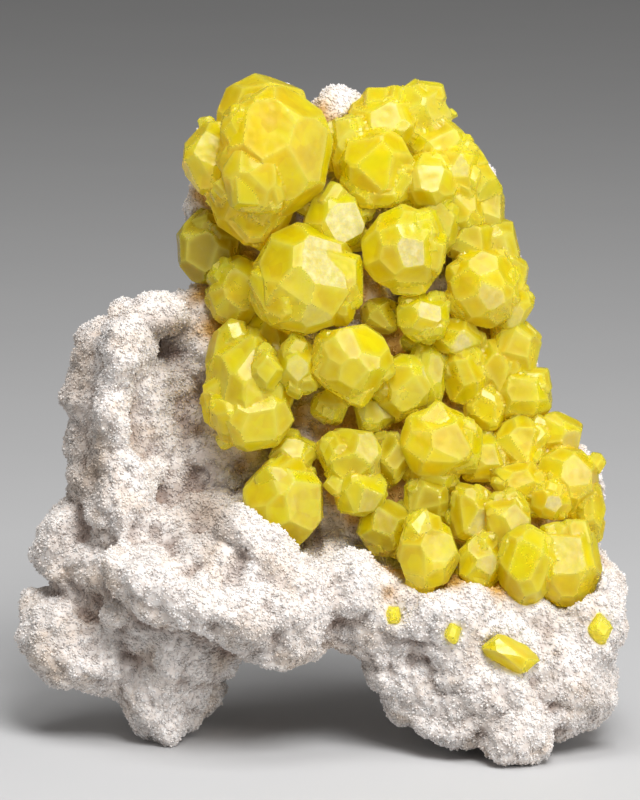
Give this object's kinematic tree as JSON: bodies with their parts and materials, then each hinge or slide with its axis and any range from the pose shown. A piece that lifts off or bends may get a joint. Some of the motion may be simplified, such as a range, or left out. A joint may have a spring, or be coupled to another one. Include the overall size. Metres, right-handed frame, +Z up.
{
  "type": "native sulfur crystal specimen on matrix",
  "caption": "Bright yellow faceted sulfur crystals grown over a white, sugary rock matrix that stands on two feet with an open arch between them.",
  "frame": {"origin": "on the resting plane, under the middle of the specimen's box", "axes": "+Z up, +X to the right of someone who faces the crystals, -Y out of the face that the crystals grow on"},
  "size_m": [0.1068, 0.059, 0.1164],
  "materials": {
    "sulfur": "resinous lustre, translucent",
    "rock": "rough, sugary"
  },
  "bodies": {
    "root": {"bright_tablet": "sulfur", "capped_crystal": "sulfur", "cluster_foot_middle": "sulfur", "cluster_foot_right": "sulfur", "dark_chip": "sulfur", "dark_sliver": "sulfur", "deep_gold_crystal": "sulfur", "dull_crystal": "sulfur", "grey_facet_crystal": "sulfur", "largest_crystal": "sulfur", "leaning_shard": "sulfur", "leaning_tablet": "sulfur", "left_middle_crystal": "sulfur", "lone_crystal_left": "sulfur", "lone_crystal_middle": "sulfur", "lone_crystal_right": "sulfur", "low_olive_crystal": "sulfur", "lower_left_crystal": "sulfur", "matrix": "rock", "narrow_crystal": "sulfur", "olive_crystal": "sulfur", "paired_crystals": "sulfur", "pale_crystal": "sulfur", "pale_faced_crystal": "sulfur", "right_middle_cluster": "sulfur", "right_shoulder": "sulfur", "rosette_left": "sulfur", "rosette_top_left": "sulfur", "round_crystal": "sulfur", "shaded_crystal": "sulfur", "small_rim_crystal": "sulfur", "top_right_cluster": "sulfur", "upper_right_cluster": "sulfur", "wavy_crystal": "sulfur"}
  },
  "joints": []
}
